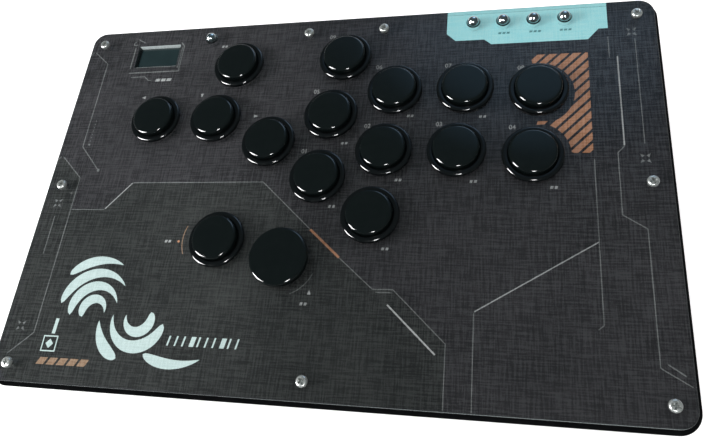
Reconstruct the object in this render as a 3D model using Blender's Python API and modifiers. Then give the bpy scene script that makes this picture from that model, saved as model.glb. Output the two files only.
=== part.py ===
"""All-button arcade controller: a screwed case with sixteen push buttons, five dome keys and a display.

The frame is +X to the right, +Y to the rear and +Z up, in metres. The origin is the centre of the
rectangle under the case, on the plane that the four feet stand on.
"""

import math

import bmesh
import bpy
from mathutils import Matrix, Vector

NAME = "arcade_controller"

# Top plate and case
PLATE_WIDTH = 0.300
PLATE_DEPTH = 0.192
PLATE_CORNER = 0.007
CASE_MARGIN = 0.002
WALL = 0.003
FLOOR = 0.0025
GAP = 0.0003

# Layers, from the table up
FOOT_HEIGHT = 0.0023
FOOT_RECESS = 0.0003
FOOT_RADIUS = 0.008
FOOT_CHAMFER = 0.0005
FOOT_INSET = 0.022
FOOT_STEPS = 20
CASE_LOW = FOOT_HEIGHT - FOOT_RECESS
CASE_RIM = CASE_LOW + 0.028
PANEL_THICKNESS = 0.002
ART_THICKNESS = 0.0003
COVER_THICKNESS = 0.0025
PANEL_LOW = CASE_RIM - PANEL_THICKNESS
ART_LOW = CASE_RIM + GAP
COVER_LOW = ART_LOW + ART_THICKNESS + GAP
TOP = COVER_LOW + COVER_THICKNESS

# Push buttons, for 24 mm holes; heights are measured from the top face of the cover
PITCH = 0.0335
SHORT_PITCH = 0.0329
LONG_PITCH = 0.0340
BUTTON_STEPS = 18
HOLE_RADIUS = 0.0126
HOLE_STEPS = 12
FLANGE_RADIUS = 0.0136
FLANGE_HEIGHT = 0.0018
FLANGE_ROUND = 0.0010
BARREL_RADIUS = 0.0120
BARREL_DEPTH = 0.0110
BORE_RADIUS = 0.0110
LOWER_BORE_RADIUS = 0.01145
SHOULDER_DEPTH = 0.0020
CAP_RADIUS = 0.01075
CAP_HEIGHT = 0.0046
CAP_ROUND = 0.0010
RIM_RADIUS = 0.0112
RIM_HEIGHT = 0.0012
STEM_RADIUS = 0.0030
STEM_DEPTH = 0.0136
TRAVEL = 0.0025

# The wide thumb button hides its low flange under a cup
WIDE_CAP_RADIUS = 0.0136
WIDE_CAP_HEIGHT = 0.0051
WIDE_CAP_EDGE = 0.0029
WIDE_CAP_SKIRT = 0.00065
LOW_FLANGE_RADIUS = 0.0126
LOW_FLANGE_HEIGHT = 0.0015
WIDE_CAP_CLEARANCE = 0.0002
WIDE_CAP_CEILING = LOW_FLANGE_HEIGHT + TRAVEL + WIDE_CAP_CLEARANCE

# Layout of the push buttons: both finger rows bend as the fingertips do, and lean a little to the left.
# The turns are directions in degrees from one button to the next.
FIRST_UPPER = Vector((-0.0025, 0.0381))
UPPER_TURNS = (22.4, -0.5, -4.0)
LOWER_TURNS = (23.7, -1.3, -5.0)
COLUMN_TURN = -94.6
EXTRA_LOWER_TURN = -96.3
EXTRA_UPPER_TURN = 83.3
EXTRA_LEFT_TURN = 77.6
MOVE_RIGHT_TURN = 205.3
MOVE_DOWN_TURN = 155.7
MOVE_LEFT_TURN = 179.0
THUMB_JUMP = Vector((-0.0172, -0.0359))
THUMB_SIDE_TURN = 165.3

# Dome keys
KEY_RADIUS = 0.0030
KEY_HEIGHT = 0.0031
KEY_WALL_HEIGHT = 0.0002
KEY_FLANGE_RADIUS = 0.0042
KEY_FLANGE_THICKNESS = 0.0010
KEY_DOME_ANGLES = (65, 42, 20)
KEY_STEPS = 12
KEY_PITCH = 0.0146
KEY_ROW = Vector((0.0655, 0.0889))
LOCK_KEY = Vector((-0.0764, 0.0884))
KEY_TRAVEL = 0.0005

# Cover screws, M2.5 with pan heads
SCREW_INSET = 0.008
SCREW_REAR_SPREAD = 0.02015
SCREW_SIDE_Y = 0.001
SCREW_RADIUS = 0.0012
HOLE_PLAY = 0.0004
SCREW_HEAD_RADIUS = 0.0025
SCREW_HEAD_HEIGHT = 0.0019
SCREW_CROWN = ((0, 0), (0.62, 0.08), (0.93, 0.45))
SCREW_LENGTH = 0.012
SCREW_HOLE_DEPTH = 0.020
SCREW_STEPS = 10
RECESS_LENGTH = 0.0030
RECESS_WIDTH = 0.0007
RECESS_DEPTH = 0.0011

# Display and boards
WINDOW_CENTRE = Vector((-0.1070, 0.07875))
WINDOW_SIZE = Vector((0.0250, 0.0135))
BOARD_THICKNESS = 0.0016
BOARD_TOP = 0.0140
BOARD_WIDTH = 0.224
BOARD_DEPTH = 0.130
BOARD_CENTRE_Y = 0.015
BOARD_CORNER = 0.003
BOARD_PEG_INSET = 0.006
BOARD_TAB_WIDTH = 0.018
BOARD_TAB_END = 0.094
SMALL_BOARD_TOP = 0.0228
SMALL_BOARD_THICKNESS = 0.0012
KEY_BOARD_MARGINS = (Vector((0.0076, 0.0063)), Vector((0.0076, 0.0055)))
KEY_BOARD_PEGS = (0.5, 2.5)
DISPLAY_BOARD_MARGINS = (Vector((0.0015, 0.0040)), Vector((0.0050, 0.0055)))
DISPLAY_BOARD_PEGS = (Vector((-0.1160, 0.0885)), Vector((-0.0870, 0.0885)))
SWITCH_SIDE = 0.0140
SWITCH_TOP = 0.0205
SWITCH_POCKET_RADIUS = 0.0040
SWITCH_POCKET_CLEARANCE = 0.0008
SWITCH_POCKET_FLOOR = TOP - STEM_DEPTH - TRAVEL - SWITCH_POCKET_CLEARANCE
PROCESSOR_PLACE = Vector((0.060, -0.025))
PROCESSOR_SIDE = 0.010
PROCESSOR_HEIGHT = 0.001
TACT_SIDE = 0.0060
TACT_CLEARANCE = 0.0001
TACT_TOP = PANEL_LOW - GAP - KEY_FLANGE_THICKNESS - KEY_TRAVEL - TACT_CLEARANCE

# Ribbon cables from the main board to the small boards
RIBBON_WIDTH = 0.010
RIBBON_THICKNESS = 0.0008
RIBBON_BEND = 0.0012
HEADER_SIZE = Vector((0.012, 0.005))
HEADER_TOP = 0.018
DISPLAY_HEADER = Vector((-0.080, 0.060))
DISPLAY_CABLE_RUN = 0.012
KEY_HEADER = Vector((0.080, 0.066))
KEY_CABLE_RUN = 0.0196

# USB-C socket in the rear wall
SOCKET_WIDTH = 0.0092
SOCKET_HEIGHT = 0.0035
SOCKET_SKIN = 0.00035
SOCKET_LENGTH = 0.0075
SOCKET_SETBACK = 0.0010

# Posts that stand on the floor of the case
BOSS_RADIUS = 0.0040
STANDOFF_RADIUS = 0.0030
PEG_RADIUS = 0.0012
PEG_RISE = 0.0006
POST_STEPS = 12
PEG_STEPS = 8

# Finish of the meshes
WELD_DISTANCE = 0.000001
SHARP_ANGLE = 40

CASE_WIDTH = PLATE_WIDTH + 2 * CASE_MARGIN
CASE_DEPTH = PLATE_DEPTH + 2 * CASE_MARGIN
CASE_CORNER = PLATE_CORNER + CASE_MARGIN
FLOOR_TOP = CASE_LOW + FLOOR
SOCKET_CENTRE_Z = BOARD_TOP + GAP + SOCKET_HEIGHT / 2


# ---------------------------------------------------------------- layout

def along(start, angle, distance):
    """The point at a distance from the start, in the direction of an angle in degrees."""
    turn = math.radians(angle)
    return start + distance * Vector((math.cos(turn), math.sin(turn)))


def finger_row(first, turns):
    """Centres of four finger buttons: the turns are the directions from each one to the next."""
    row = [first]
    for turn, step in zip(turns, (PITCH, LONG_PITCH, LONG_PITCH)):
        row.append(along(row[-1], turn, step))
    return row


def push_button_places():
    """Name and centre of each push button, worked out from one finger and one thumb button."""
    upper = finger_row(FIRST_UPPER, UPPER_TURNS)
    lower = finger_row(along(FIRST_UPPER, COLUMN_TURN, PITCH), LOWER_TURNS)
    right = along(FIRST_UPPER, MOVE_RIGHT_TURN, PITCH)
    down = along(right, MOVE_DOWN_TURN, LONG_PITCH)
    places = {f"upper_{i + 1}": place for i, place in enumerate(upper)}
    places.update({f"lower_{i + 1}": place for i, place in enumerate(lower)})
    places["extra_lower"] = along(lower[1], EXTRA_LOWER_TURN, SHORT_PITCH)
    places["extra_upper"] = along(FIRST_UPPER, EXTRA_UPPER_TURN, PITCH)
    places["extra_left"] = along(down, EXTRA_LEFT_TURN, SHORT_PITCH)
    places["move_right"] = right
    places["move_down"] = down
    places["move_left"] = along(down, MOVE_LEFT_TURN, LONG_PITCH)
    places["thumb_jump"] = THUMB_JUMP
    places["thumb_side"] = along(THUMB_JUMP, THUMB_SIDE_TURN, LONG_PITCH)
    return places


def key_places():
    """Name and centre of each dome key."""
    places = {f"key_{i + 1}": KEY_ROW + Vector((i * KEY_PITCH, 0)) for i in range(4)}
    places["key_lock"] = LOCK_KEY
    return places


def screw_places():
    """Name and centre of each cover screw."""
    x = PLATE_WIDTH / 2 - SCREW_INSET
    y = PLATE_DEPTH / 2 - SCREW_INSET
    return {
        "screw_front_left": Vector((-x, -y)),
        "screw_front_middle": Vector((0, -y)),
        "screw_front_right": Vector((x, -y)),
        "screw_side_left": Vector((-x, SCREW_SIDE_Y)),
        "screw_side_right": Vector((x, SCREW_SIDE_Y)),
        "screw_rear_left": Vector((-x, y)),
        "screw_rear_inner_left": Vector((-SCREW_REAR_SPREAD, y)),
        "screw_rear_inner_right": Vector((SCREW_REAR_SPREAD, y)),
        "screw_rear_right": Vector((x, y)),
    }


def foot_places():
    """Name and centre of each rubber foot."""
    x = CASE_WIDTH / 2 - FOOT_INSET
    y = CASE_DEPTH / 2 - FOOT_INSET
    return {
        "foot_front_left": Vector((-x, -y)),
        "foot_front_right": Vector((x, -y)),
        "foot_rear_left": Vector((-x, y)),
        "foot_rear_right": Vector((x, y)),
    }


def board_peg_places():
    """Centres of the four pegs that hold the main board."""
    x = BOARD_WIDTH / 2 - BOARD_PEG_INSET
    y = BOARD_DEPTH / 2 - BOARD_PEG_INSET
    return [Vector((sx * x, BOARD_CENTRE_Y + sy * y)) for sx in (-1, 1) for sy in (-1, 1)]


def key_board_span():
    """Low and high corner of the board under the row of dome keys."""
    low_margin, high_margin = KEY_BOARD_MARGINS
    return KEY_ROW - low_margin, KEY_ROW + Vector((3 * KEY_PITCH, 0)) + high_margin


def display_board_span():
    """Low and high corner of the board that carries the display and the lock key's switch."""
    low_margin, high_margin = DISPLAY_BOARD_MARGINS
    return WINDOW_CENTRE - WINDOW_SIZE / 2 - low_margin, LOCK_KEY + high_margin


def small_board_peg_places():
    """Centres of the pegs that hold the two small boards."""
    between_keys = [KEY_ROW + Vector((n * KEY_PITCH, 0)) for n in KEY_BOARD_PEGS]
    return between_keys + list(DISPLAY_BOARD_PEGS)


# ---------------------------------------------------------------- shapes

def arc(centre, radius, start, end, steps):
    """Points along an arc, angles in degrees."""
    turn = (end - start) / steps
    return [along(centre, start + i * turn, radius) for i in range(steps + 1)]


def rounded_outline(width, depth, radius, centre=(0, 0), steps=5):
    """A rectangle with round corners, counter-clockwise."""
    points = []
    for quarter, (sx, sy) in enumerate([(1, 1), (-1, 1), (-1, -1), (1, -1)]):
        corner = Vector(centre) + Vector((sx * (width / 2 - radius), sy * (depth / 2 - radius)))
        points += arc(corner, radius, 90 * quarter, 90 * quarter + 90, steps)
    return points


def stadium_outline(width, height, steps=6):
    """A slot with half-round ends, counter-clockwise."""
    radius = height / 2
    reach = Vector((width / 2 - radius, 0))
    return arc(reach, radius, -90, 90, steps) + arc(-reach, radius, 90, 270, steps)


def ribbon_outline(path, thickness):
    """A strip of even thickness along a path of points, counter-clockwise."""
    left = []
    right = []
    for i, place in enumerate(path):
        run = (path[min(i + 1, len(path) - 1)] - path[max(i - 1, 0)]).normalized()
        side = Vector((-run.y, run.x)) * thickness / 2
        left.append(place + side)
        right.append(place - side)
    return right + left[::-1]


def cross_outline(length, width):
    """A plus sign, counter-clockwise."""
    a = width / 2
    b = length / 2
    arm = [Vector((b, -a)), Vector((b, a)), Vector((a, a))]
    return [Matrix.Rotation(math.radians(90 * i), 2) @ point for i in range(4) for point in arm]


def evaluated_mesh(carrier):
    """The final mesh of a temporary object, which is removed."""
    bpy.context.scene.collection.objects.link(carrier)
    graph = bpy.context.evaluated_depsgraph_get()
    mesh = bpy.data.meshes.new_from_object(carrier.evaluated_get(graph))
    mesh.transform(carrier.matrix_world)
    bpy.data.objects.remove(carrier)
    bm = bmesh.new()
    bm.from_mesh(mesh)
    bmesh.ops.remove_doubles(bm, verts=bm.verts, dist=WELD_DISTANCE)
    bm.to_mesh(mesh)
    bm.free()
    return mesh


def extruded_mesh(outline, low, high):
    """A flat outline in X and Y, filled and thickened from one height to another."""
    curve = bpy.data.curves.new("outline", "CURVE")
    curve.dimensions = "2D"
    curve.fill_mode = "BOTH"
    curve.extrude = (high - low) / 2
    spline = curve.splines.new("POLY")
    spline.points.add(len(outline) - 1)
    for point, place in zip(spline.points, outline):
        point.co = (place.x, place.y, 0, 1)
    spline.use_cyclic_u = True
    carrier = bpy.data.objects.new("outline", curve)
    mesh = evaluated_mesh(carrier)
    mesh.transform(Matrix.Translation((0, 0, (low + high) / 2)))
    bpy.data.curves.remove(curve)
    return mesh


def turned_mesh(profile, steps):
    """A profile of (radius, height) points, turned about Z. It runs down its outer side."""
    outline = bpy.data.meshes.new("profile")
    closed = profile[0][0] > 0
    count = len(profile)
    edges = [(i, (i + 1) % count) for i in range(count if closed else count - 1)]
    outline.from_pydata([(radius, 0, height) for radius, height in profile], edges, [])
    carrier = bpy.data.objects.new("profile", outline)
    screw = carrier.modifiers.new("Screw", "SCREW")
    screw.axis = "Z"
    screw.steps = steps
    screw.render_steps = steps
    screw.use_merge_vertices = True
    screw.merge_threshold = WELD_DISTANCE
    mesh = evaluated_mesh(carrier)
    bpy.data.meshes.remove(outline)
    mesh.shade_smooth()
    mesh.set_sharp_from_angle(angle=math.radians(SHARP_ANGLE))
    return mesh


def post_mesh(places, radius, low, high, steps):
    """Round posts of one size at several places."""
    bm = bmesh.new()
    for place in places:
        bmesh.ops.create_cone(
            bm,
            cap_ends=True,
            segments=steps,
            radius1=radius,
            radius2=radius,
            depth=high - low,
            matrix=Matrix.Translation((place.x, place.y, (low + high) / 2)),
        )
    mesh = bpy.data.meshes.new("posts")
    bm.to_mesh(mesh)
    bm.free()
    return mesh


def block_mesh(places, size, low, high):
    """Boxes of one plan size at several places."""
    bm = bmesh.new()
    scale = Matrix.Diagonal((size[0], size[1], high - low, 1))
    for place in places:
        move = Matrix.Translation((place.x, place.y, (low + high) / 2))
        bmesh.ops.create_cube(bm, size=1, matrix=move @ scale)
    mesh = bpy.data.meshes.new("blocks")
    bm.to_mesh(mesh)
    bm.free()
    return mesh


# ---------------------------------------------------------------- objects

def clear_scene():
    for thing in list(bpy.data.objects):
        bpy.data.objects.remove(thing)


def make_collection(name):
    collection = bpy.data.collections.new(name)
    bpy.context.scene.collection.children.link(collection)
    return collection


def make_material(name, colour, roughness, metallic=0.0, alpha=1.0):
    material = bpy.data.materials.new(name)
    material.use_nodes = True
    shader = material.node_tree.nodes["Principled BSDF"]
    shader.inputs["Base Color"].default_value = (*colour, 1)
    shader.inputs["Roughness"].default_value = roughness
    shader.inputs["Metallic"].default_value = metallic
    shader.inputs["Alpha"].default_value = alpha
    return material


class Builder:
    """Puts meshes into the collections of parts and cutters."""

    def __init__(self):
        self.parts = make_collection(NAME)
        self.tools = make_collection("cutters")

    def part(self, name, mesh, material, location=(0, 0, 0)):
        if not mesh.materials:
            mesh.materials.append(material)
        thing = bpy.data.objects.new(name, mesh)
        thing.location = location
        self.parts.objects.link(thing)
        return thing

    def tool(self, name, mesh):
        thing = bpy.data.objects.new(name, mesh)
        thing.hide_render = True
        thing.display_type = "WIRE"
        self.tools.objects.link(thing)
        return thing

    def boolean(self, target, operation, tool):
        step = target.modifiers.new(tool.name, "BOOLEAN")
        step.operation = operation
        step.solver = "EXACT"
        step.object = tool

    def cut(self, target, tool):
        self.boolean(target, "DIFFERENCE", tool)

    def join(self, target, tool):
        self.boolean(target, "UNION", tool)


# ---------------------------------------------------------------- case

def make_case(build, material):
    """The tray: walls, floor, screw bosses, standoffs with pegs, socket opening and foot recesses."""
    outer = rounded_outline(CASE_WIDTH, CASE_DEPTH, CASE_CORNER)
    case = build.part("base_case", extruded_mesh(outer, CASE_LOW, CASE_RIM), material)
    inner = rounded_outline(CASE_WIDTH - 2 * WALL, CASE_DEPTH - 2 * WALL, CASE_CORNER - WALL)
    build.cut(case, build.tool("case_cavity", extruded_mesh(inner, FLOOR_TOP, CASE_RIM + WALL)))

    screws = screw_places().values()
    root = FLOOR_TOP - FLOOR / 2
    boss_top = PANEL_LOW - GAP
    bosses = post_mesh(screws, BOSS_RADIUS, root, boss_top, POST_STEPS)
    build.join(case, build.tool("case_bosses", bosses))
    holes = post_mesh(screws, SCREW_RADIUS + HOLE_PLAY, TOP - SCREW_HOLE_DEPTH, CASE_RIM, PEG_STEPS)
    build.cut(case, build.tool("boss_holes", holes))

    levels = {
        "main": (board_peg_places(), BOARD_TOP - BOARD_THICKNESS - GAP, BOARD_TOP),
        "small": (small_board_peg_places(), SMALL_BOARD_TOP - SMALL_BOARD_THICKNESS - GAP, SMALL_BOARD_TOP),
    }
    for level, (places, shoulder, board_top) in levels.items():
        standoffs = post_mesh(places, STANDOFF_RADIUS, root, shoulder, POST_STEPS)
        build.join(case, build.tool(f"{level}_standoffs", standoffs))
        pegs = post_mesh(places, PEG_RADIUS, shoulder - STANDOFF_RADIUS, board_top + PEG_RISE, PEG_STEPS)
        build.join(case, build.tool(f"{level}_pegs", pegs))

    feet = foot_places().values()
    recesses = post_mesh(feet, FOOT_RADIUS + GAP, CASE_LOW - WALL, FOOT_HEIGHT + GAP, FOOT_STEPS)
    build.cut(case, build.tool("foot_recesses", recesses))

    mouth = socket_prism(SOCKET_WIDTH + 2 * GAP, SOCKET_HEIGHT + 2 * GAP, -WALL, 2 * WALL)
    build.cut(case, build.tool("socket_opening", mouth))


def make_feet(build, material):
    profile = [
        (0, FOOT_HEIGHT),
        (FOOT_RADIUS, FOOT_HEIGHT),
        (FOOT_RADIUS, FOOT_CHAMFER),
        (FOOT_RADIUS - FOOT_CHAMFER, 0),
        (0, 0),
    ]
    mesh = turned_mesh(profile, FOOT_STEPS)
    for name, place in foot_places().items():
        build.part(name, mesh, material, (*place, 0))


# ---------------------------------------------------------------- top plate

def make_layers(build, panel_material, art_material, cover_material):
    """Mounting panel, printed sheet and clear cover, with the same holes through all three."""
    low = PANEL_LOW - WALL
    high = TOP + WALL
    sizes = {
        "button_holes": (push_button_places(), HOLE_RADIUS, HOLE_STEPS),
        "key_holes": (key_places(), KEY_RADIUS + HOLE_PLAY, KEY_STEPS),
        "screw_holes": (screw_places(), SCREW_RADIUS + HOLE_PLAY, PEG_STEPS),
    }
    tools = [
        build.tool(name, post_mesh(places.values(), radius, low, high, steps))
        for name, (places, radius, steps) in sizes.items()
    ]
    tools.append(build.tool("window", block_mesh([WINDOW_CENTRE], WINDOW_SIZE, low, high)))

    inset = 2 * (WALL + GAP)
    panel = rounded_outline(CASE_WIDTH - inset, CASE_DEPTH - inset, CASE_CORNER - WALL - GAP)
    plate = rounded_outline(PLATE_WIDTH, PLATE_DEPTH, PLATE_CORNER)
    layers = {
        "mounting_panel": (panel, PANEL_LOW, CASE_RIM, panel_material),
        "art_sheet": (plate, ART_LOW, ART_LOW + ART_THICKNESS, art_material),
        "clear_cover": (plate, COVER_LOW, TOP, cover_material),
    }
    for name, (outline, bottom, top, material) in layers.items():
        layer = build.part(name, extruded_mesh(outline, bottom, top), material)
        for tool in tools:
            build.cut(layer, tool)


def make_screws(build, material):
    """Pan-head screws with a cross recess, held just clear of the cover."""
    head_low = GAP
    head_top = head_low + SCREW_HEAD_HEIGHT
    profile = [(SCREW_HEAD_RADIUS * out, head_top - SCREW_HEAD_HEIGHT * down) for out, down in SCREW_CROWN]
    profile += [
        (SCREW_HEAD_RADIUS, head_low),
        (SCREW_RADIUS, head_low),
        (SCREW_RADIUS, -SCREW_LENGTH),
        (0, -SCREW_LENGTH),
    ]
    carrier = bpy.data.objects.new("screw", turned_mesh(profile, SCREW_STEPS))
    outline = cross_outline(RECESS_LENGTH, RECESS_WIDTH)
    recess = build.tool("recess", extruded_mesh(outline, head_top - RECESS_DEPTH, head_top + RECESS_DEPTH))
    build.cut(carrier, recess)
    mesh = evaluated_mesh(carrier)
    for name, place in screw_places().items():
        build.part(name, mesh, material, (*place, TOP))


# ---------------------------------------------------------------- push buttons

def housing_profile(flange_radius, flange_height):
    """Flange on the cover, and a barrel with a shoulder that stops the plunger from lifting out."""
    return [
        (BORE_RADIUS, flange_height),
        (flange_radius - FLANGE_ROUND, flange_height),
        (flange_radius, flange_height - FLANGE_ROUND),
        (flange_radius, GAP),
        (BARREL_RADIUS, GAP),
        (BARREL_RADIUS, -BARREL_DEPTH),
        (LOWER_BORE_RADIUS, -BARREL_DEPTH),
        (LOWER_BORE_RADIUS, -SHOULDER_DEPTH),
        (BORE_RADIUS, -SHOULDER_DEPTH),
    ]


def plunger_foot():
    """The lower end of every plunger: its guide, its retaining rim and its stem."""
    rim_top = -SHOULDER_DEPTH - GAP
    return [
        (CAP_RADIUS, rim_top),
        (RIM_RADIUS, rim_top),
        (RIM_RADIUS, rim_top - RIM_HEIGHT),
        (STEM_RADIUS, rim_top - RIM_HEIGHT),
        (STEM_RADIUS, -STEM_DEPTH),
        (0, -STEM_DEPTH),
    ]


def plunger_profile():
    return [
        (0, CAP_HEIGHT),
        (CAP_RADIUS - CAP_ROUND, CAP_HEIGHT),
        (CAP_RADIUS, CAP_HEIGHT - CAP_ROUND),
    ] + plunger_foot()


def wide_plunger_profile():
    """The thumb button: a cup wider than its flange, on the same guide and stem."""
    return [
        (0, WIDE_CAP_HEIGHT),
        (WIDE_CAP_RADIUS - CAP_ROUND, WIDE_CAP_HEIGHT),
        (WIDE_CAP_RADIUS, WIDE_CAP_HEIGHT - CAP_ROUND),
        (WIDE_CAP_RADIUS, WIDE_CAP_EDGE),
        (WIDE_CAP_RADIUS - WIDE_CAP_SKIRT, WIDE_CAP_EDGE),
        (WIDE_CAP_RADIUS - WIDE_CAP_SKIRT, WIDE_CAP_CEILING),
        (CAP_RADIUS, WIDE_CAP_CEILING),
    ] + plunger_foot()


def make_push_buttons(build, housing_material, plunger_material):
    housing = turned_mesh(housing_profile(FLANGE_RADIUS, FLANGE_HEIGHT), BUTTON_STEPS)
    low_housing = turned_mesh(housing_profile(LOW_FLANGE_RADIUS, LOW_FLANGE_HEIGHT), BUTTON_STEPS)
    plunger = turned_mesh(plunger_profile(), BUTTON_STEPS)
    wide_plunger = turned_mesh(wide_plunger_profile(), BUTTON_STEPS)
    for name, place in push_button_places().items():
        wide = name == "thumb_jump"
        location = (*place, TOP)
        build.part(f"housing_{name}", low_housing if wide else housing, housing_material, location)
        build.part(f"plunger_{name}", wide_plunger if wide else plunger, plunger_material, location)


# ---------------------------------------------------------------- dome keys

def make_keys(build, material):
    """Metal dome keys, each held under the panel by its own flange."""
    flange_top = PANEL_LOW - GAP - TOP
    flange_low = flange_top - KEY_FLANGE_THICKNESS
    crown = KEY_HEIGHT - KEY_WALL_HEIGHT
    turns = [math.radians(angle) for angle in KEY_DOME_ANGLES]
    profile = [(0, KEY_HEIGHT)]
    profile += [(KEY_RADIUS * math.cos(t), KEY_WALL_HEIGHT + crown * math.sin(t)) for t in turns]
    profile += [
        (KEY_RADIUS, KEY_WALL_HEIGHT),
        (KEY_RADIUS, flange_top),
        (KEY_FLANGE_RADIUS, flange_top),
        (KEY_FLANGE_RADIUS, flange_low),
        (0, flange_low),
    ]
    mesh = turned_mesh(profile, KEY_STEPS)
    for name, place in key_places().items():
        build.part(name, mesh, material, (*place, TOP))


# ---------------------------------------------------------------- electronics

def make_main_board(build, material):
    """Board with the sixteen key switches, the processor and a tab that carries the socket."""
    board_low = BOARD_TOP - BOARD_THICKNESS
    overlap = BOARD_THICKNESS / 2
    outline = rounded_outline(BOARD_WIDTH, BOARD_DEPTH, BOARD_CORNER, (0, BOARD_CENTRE_Y), 2)
    board = build.part("main_board", extruded_mesh(outline, board_low, BOARD_TOP), material)

    board_rear = BOARD_CENTRE_Y + BOARD_DEPTH / 2
    tab_length = BOARD_TAB_END - board_rear + overlap
    tab_centre = Vector((0, BOARD_TAB_END - tab_length / 2))
    tab = block_mesh([tab_centre], (BOARD_TAB_WIDTH, tab_length), board_low, BOARD_TOP)
    build.join(board, build.tool("board_tab", tab))

    buttons = push_button_places().values()
    switches = block_mesh(buttons, (SWITCH_SIDE, SWITCH_SIDE), BOARD_TOP - overlap, SWITCH_TOP)
    build.join(board, build.tool("switch_bodies", switches))
    pockets = post_mesh(buttons, SWITCH_POCKET_RADIUS, SWITCH_POCKET_FLOOR, TOP, PEG_STEPS)
    build.cut(board, build.tool("switch_pockets", pockets))

    chip_size = (PROCESSOR_SIDE, PROCESSOR_SIDE)
    chip = block_mesh([PROCESSOR_PLACE], chip_size, BOARD_TOP - overlap, BOARD_TOP + PROCESSOR_HEIGHT)
    build.join(board, build.tool("processor", chip))
    headers = block_mesh((DISPLAY_HEADER, KEY_HEADER), HEADER_SIZE, BOARD_TOP - overlap, HEADER_TOP)
    build.join(board, build.tool("headers", headers))

    holes = post_mesh(board_peg_places(), PEG_RADIUS + HOLE_PLAY, board_low - GAP, TOP, PEG_STEPS)
    build.cut(board, build.tool("board_peg_holes", holes))


def make_small_board(build, name, span, keys, material):
    """A small board with a tact switch under each of its dome keys."""
    low, high = span
    overlap = SMALL_BOARD_THICKNESS / 2
    board_low = SMALL_BOARD_TOP - SMALL_BOARD_THICKNESS
    blank = block_mesh([(low + high) / 2], high - low, board_low, SMALL_BOARD_TOP)
    board = build.part(name, blank, material)
    tacts = block_mesh(keys, (TACT_SIDE, TACT_SIDE), SMALL_BOARD_TOP - overlap, TACT_TOP)
    build.join(board, build.tool(f"{name}_tacts", tacts))
    holes = post_mesh(small_board_peg_places(), PEG_RADIUS + HOLE_PLAY, board_low - GAP, TOP, PEG_STEPS)
    build.cut(board, build.tool(f"{name}_peg_holes", holes))
    return board


def make_small_boards(build, material, display_material):
    keys = key_places()
    lock = keys.pop("key_lock")
    make_small_board(build, "key_board", key_board_span(), keys.values(), material)
    display = make_small_board(build, "display_module", display_board_span(), [lock], display_material)
    glass_size = WINDOW_SIZE - 2 * Vector((GAP, GAP))
    root = SMALL_BOARD_TOP - SMALL_BOARD_THICKNESS / 2
    glass = block_mesh([WINDOW_CENTRE], glass_size, root, ART_LOW + ART_THICKNESS)
    build.join(display, build.tool("display_glass", glass))


def make_ribbon(build, name, header, run, material):
    """A flat cable that rises from a header, runs to the rear and bends up under a small board."""
    start = Vector((header.y, HEADER_TOP + GAP))
    end = Vector((header.y + run, SMALL_BOARD_TOP - SMALL_BOARD_THICKNESS - GAP))
    middle = (start.y + end.y) / 2
    rise = arc(Vector((start.x + RIBBON_BEND, middle - RIBBON_BEND)), RIBBON_BEND, 180, 90, 3)
    bend = arc(Vector((end.x - RIBBON_BEND, middle + RIBBON_BEND)), RIBBON_BEND, -90, 0, 3)
    outline = ribbon_outline([start] + rise + bend + [end], RIBBON_THICKNESS)
    mesh = extruded_mesh(outline, header.x - RIBBON_WIDTH / 2, header.x + RIBBON_WIDTH / 2)
    mesh.transform(Matrix(((0, 0, 1, 0), (1, 0, 0, 0), (0, 1, 0, 0), (0, 0, 0, 1))))
    build.part(name, mesh, material)


def socket_prism(width, height, start, end):
    """A slot-shaped bar along Y at the socket, from one distance behind the mouth's wall to another."""
    mesh = extruded_mesh(stadium_outline(width, height), start, end)
    lie_down = Matrix.Rotation(math.radians(-90), 4, "X")
    mesh.transform(Matrix.Translation((0, CASE_DEPTH / 2 - WALL, SOCKET_CENTRE_Z)) @ lie_down)
    return mesh


def make_socket(build, material):
    """USB-C socket: a drawn shell that is open to the rear."""
    mouth = WALL - SOCKET_SETBACK
    back = mouth - SOCKET_LENGTH
    socket = build.part("usb_socket", socket_prism(SOCKET_WIDTH, SOCKET_HEIGHT, back, mouth), material)
    skin = 2 * SOCKET_SKIN
    inside = socket_prism(SOCKET_WIDTH - skin, SOCKET_HEIGHT - skin, back + 2 * SOCKET_SKIN, mouth + WALL)
    build.cut(socket, build.tool("socket_cavity", inside))


def main():
    clear_scene()
    build = Builder()
    black = (0.010, 0.012, 0.013)
    make_case(build, make_material("case_plastic", black, 0.45))
    make_feet(build, make_material("foot_rubber", (0.015, 0.015, 0.016), 0.85))
    make_layers(
        build,
        make_material("panel_steel", (0.02, 0.02, 0.02), 0.5, 0.6),
        make_material("art_print", (0.055, 0.052, 0.056), 0.6),
        make_material("cover_acrylic", (0.9, 0.92, 0.92), 0.08, alpha=0.2),
    )
    make_screws(build, make_material("screw_steel", (0.62, 0.62, 0.60), 0.28, 1.0))
    make_push_buttons(
        build,
        make_material("housing_plastic", (0.006, 0.008, 0.008), 0.12),
        make_material("plunger_plastic", (0.005, 0.008, 0.008), 0.10),
    )
    make_keys(build, make_material("key_chrome", (0.55, 0.57, 0.58), 0.12, 1.0))
    make_main_board(build, make_material("board_green", (0.02, 0.11, 0.06), 0.5))
    make_small_boards(
        build,
        make_material("key_board_green", (0.02, 0.12, 0.07), 0.5),
        make_material("display_black", (0.01, 0.014, 0.016), 0.15),
    )
    ribbon = make_material("ribbon_grey", (0.30, 0.30, 0.31), 0.6)
    make_ribbon(build, "display_cable", DISPLAY_HEADER, DISPLAY_CABLE_RUN, ribbon)
    make_ribbon(build, "key_cable", KEY_HEADER, KEY_CABLE_RUN, ribbon)
    make_socket(build, make_material("socket_steel", (0.60, 0.61, 0.62), 0.3, 1.0))


main()
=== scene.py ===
"""The looks of the all-button arcade controller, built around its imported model.

Lengths are in metres in the frame of the model. Only the print is laid out in millimetres, counted
from the front left corner of the top plate.
"""

import math

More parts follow.
